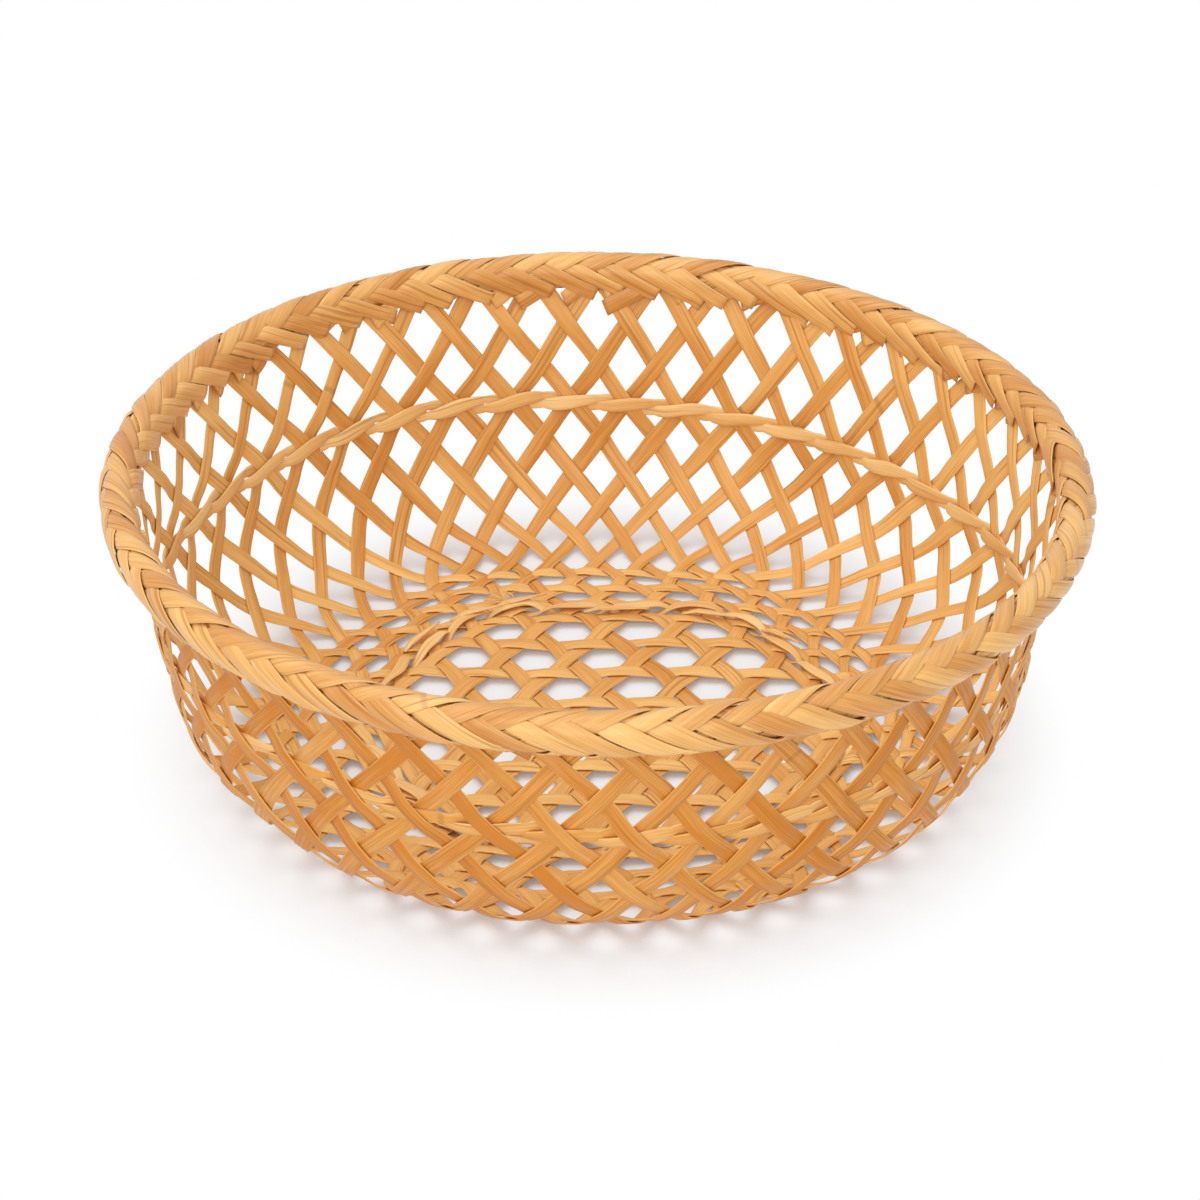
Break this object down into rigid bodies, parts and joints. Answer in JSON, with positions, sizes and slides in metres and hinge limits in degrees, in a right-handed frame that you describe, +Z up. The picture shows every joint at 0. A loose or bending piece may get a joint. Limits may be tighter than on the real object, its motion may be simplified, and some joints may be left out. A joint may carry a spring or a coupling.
{
  "type": "bamboo basket",
  "caption": "Round shallow basket of split bamboo with an open hexagonal mesh floor, a diamond lattice wall, two twined rings and a thick plaited rim.",
  "frame": {"origin": "on the standing plane, below the middle of the floor mesh", "axes": "+Z up out of the bowl, +X to the right and +Y to the back in the picture's view"},
  "size_m": [0.2974, 0.2966, 0.0951],
  "materials": {
    "split_bamboo_strip": "satin natural split bamboo",
    "twined_bamboo": "satin natural split bamboo",
    "bamboo_hoop": "matt natural bamboo",
    "plaited_bamboo": "glossy bamboo skin"
  },
  "bodies": {
    "root": {"back_strip_1": "split_bamboo_strip", "back_strip_2": "split_bamboo_strip", "back_strip_3": "split_bamboo_strip", "back_strip_4": "split_bamboo_strip", "back_strip_5": "split_bamboo_strip", "back_strip_6": "split_bamboo_strip", "back_strip_7": "split_bamboo_strip", "back_left_strip_1": "split_bamboo_strip", "back_left_strip_2": "split_bamboo_strip", "back_left_strip_3": "split_bamboo_strip", "back_left_strip_4": "split_bamboo_strip", "back_left_strip_5": "split_bamboo_strip", "back_left_strip_6": "split_bamboo_strip", "back_left_strip_7": "split_bamboo_strip", "front_left_strip_1": "split_bamboo_strip", "front_left_strip_2": "split_bamboo_strip", "front_left_strip_3": "split_bamboo_strip", "front_left_strip_4": "split_bamboo_strip", "front_left_strip_5": "split_bamboo_strip", "front_left_strip_6": "split_bamboo_strip", "front_left_strip_7": "split_bamboo_strip", "front_strip_1": "split_bamboo_strip", "front_strip_2": "split_bamboo_strip", "front_strip_3": "split_bamboo_strip", "front_strip_4": "split_bamboo_strip", "front_strip_5": "split_bamboo_strip", "front_strip_6": "split_bamboo_strip", "front_strip_7": "split_bamboo_strip", "front_right_strip_1": "split_bamboo_strip", "front_right_strip_2": "split_bamboo_strip", "front_right_strip_3": "split_bamboo_strip", "front_right_strip_4": "split_bamboo_strip", "front_right_strip_5": "split_bamboo_strip", "front_right_strip_6": "split_bamboo_strip", "front_right_strip_7": "split_bamboo_strip", "back_right_strip_1": "split_bamboo_strip", "back_right_strip_2": "split_bamboo_strip", "back_right_strip_3": "split_bamboo_strip", "back_right_strip_4": "split_bamboo_strip", "back_right_strip_5": "split_bamboo_strip", "back_right_strip_6": "split_bamboo_strip", "back_right_strip_7": "split_bamboo_strip", "floor_ring_strand_1": "twined_bamboo", "floor_ring_strand_2": "twined_bamboo", "waist_ring_strand_1": "twined_bamboo", "waist_ring_strand_2": "twined_bamboo", "inner_hoop": "bamboo_hoop", "outer_hoop": "bamboo_hoop", "rim_plait": "plaited_bamboo"}
  },
  "joints": []
}
